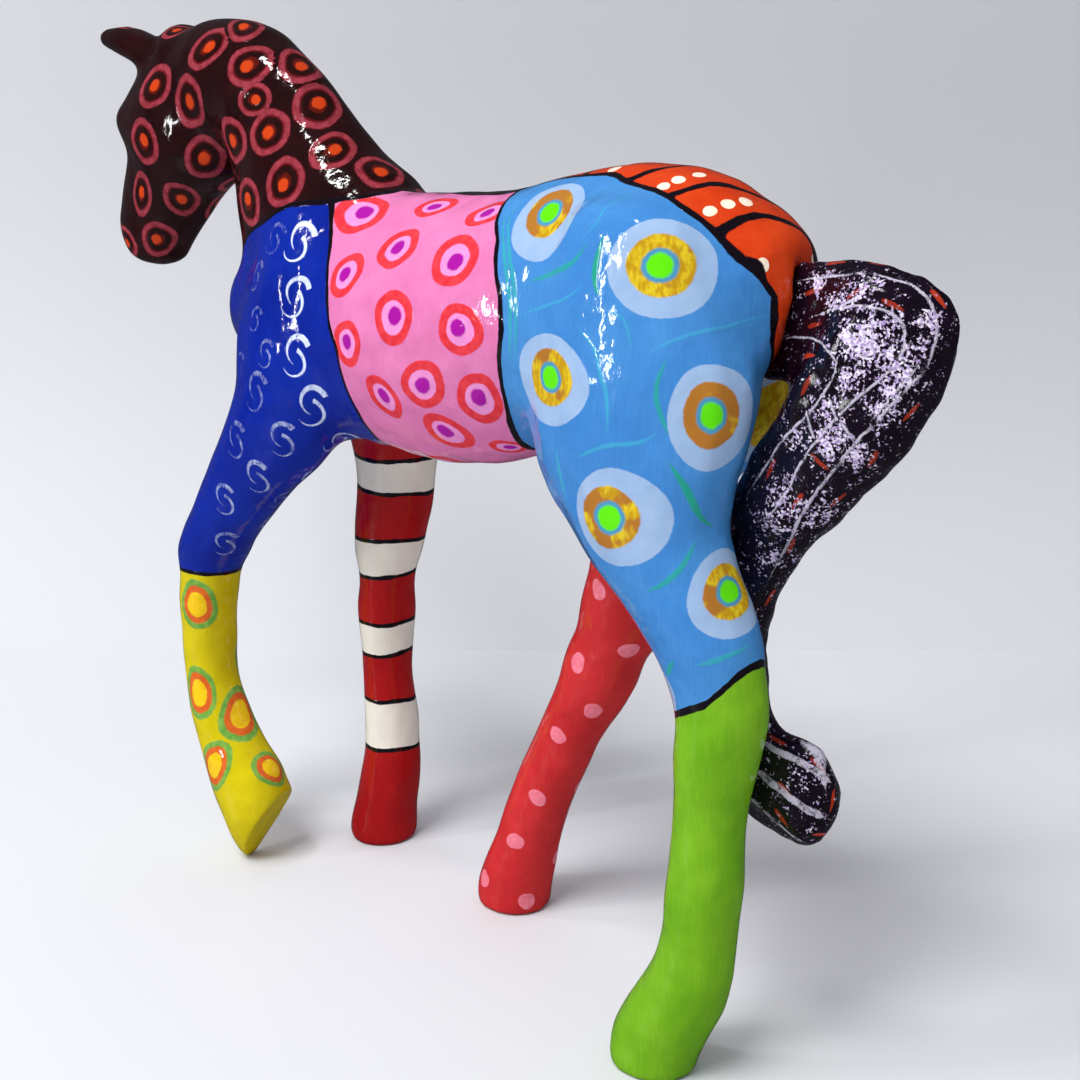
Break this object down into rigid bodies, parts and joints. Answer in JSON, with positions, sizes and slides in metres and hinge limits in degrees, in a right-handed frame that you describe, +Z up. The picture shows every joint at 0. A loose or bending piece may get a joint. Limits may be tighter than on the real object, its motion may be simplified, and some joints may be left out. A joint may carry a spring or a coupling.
{
  "type": "horse figurine",
  "caption": "Painted and varnished papier-mache foal in a walking pose, standing on its own hooves as a shelf ornament.",
  "frame": {"origin": "on the floor, under the middle of the figure's bounding box", "axes": "+X towards the muzzle, +Y towards the foal's left side, +Z up"},
  "size_m": [0.3522, 0.071, 0.2981],
  "materials": {
    "pink_paint": "gloss varnish over hand painted patterns",
    "maroon_paint": "gloss varnish over hand painted patterns",
    "royal_blue_paint": "gloss varnish over hand painted patterns",
    "yellow_paint": "gloss varnish over hand painted patterns",
    "red_paint": "gloss varnish over hand painted patterns",
    "sky_blue_paint": "gloss varnish over hand painted patterns",
    "green_paint": "gloss varnish over hand painted patterns",
    "coral_paint": "gloss varnish over hand painted patterns",
    "night_paint": "gloss varnish over hand painted patterns",
    "armature_wire": "bare wire"
  },
  "bodies": {
    "root": {"trunk": "pink_paint", "neck": "maroon_paint", "head": "maroon_paint", "ear_left": "maroon_paint", "ear_right": "maroon_paint", "fore_leg_left_upper": "royal_blue_paint", "fore_leg_left_lower": "yellow_paint", "fore_leg_right_upper": "red_paint", "fore_leg_right_lower": "red_paint", "hind_leg_left_upper": "sky_blue_paint", "hind_leg_left_lower": "green_paint", "hind_leg_right_upper": "coral_paint", "hind_leg_right_lower": "coral_paint", "tail": "night_paint", "tail_tuft": "night_paint", "spine_wire": "armature_wire", "tail_wire": "armature_wire", "fore_leg_left_wire": "armature_wire", "fore_leg_right_wire": "armature_wire", "hind_leg_left_wire": "armature_wire", "hind_leg_right_wire": "armature_wire"}
  },
  "joints": []
}
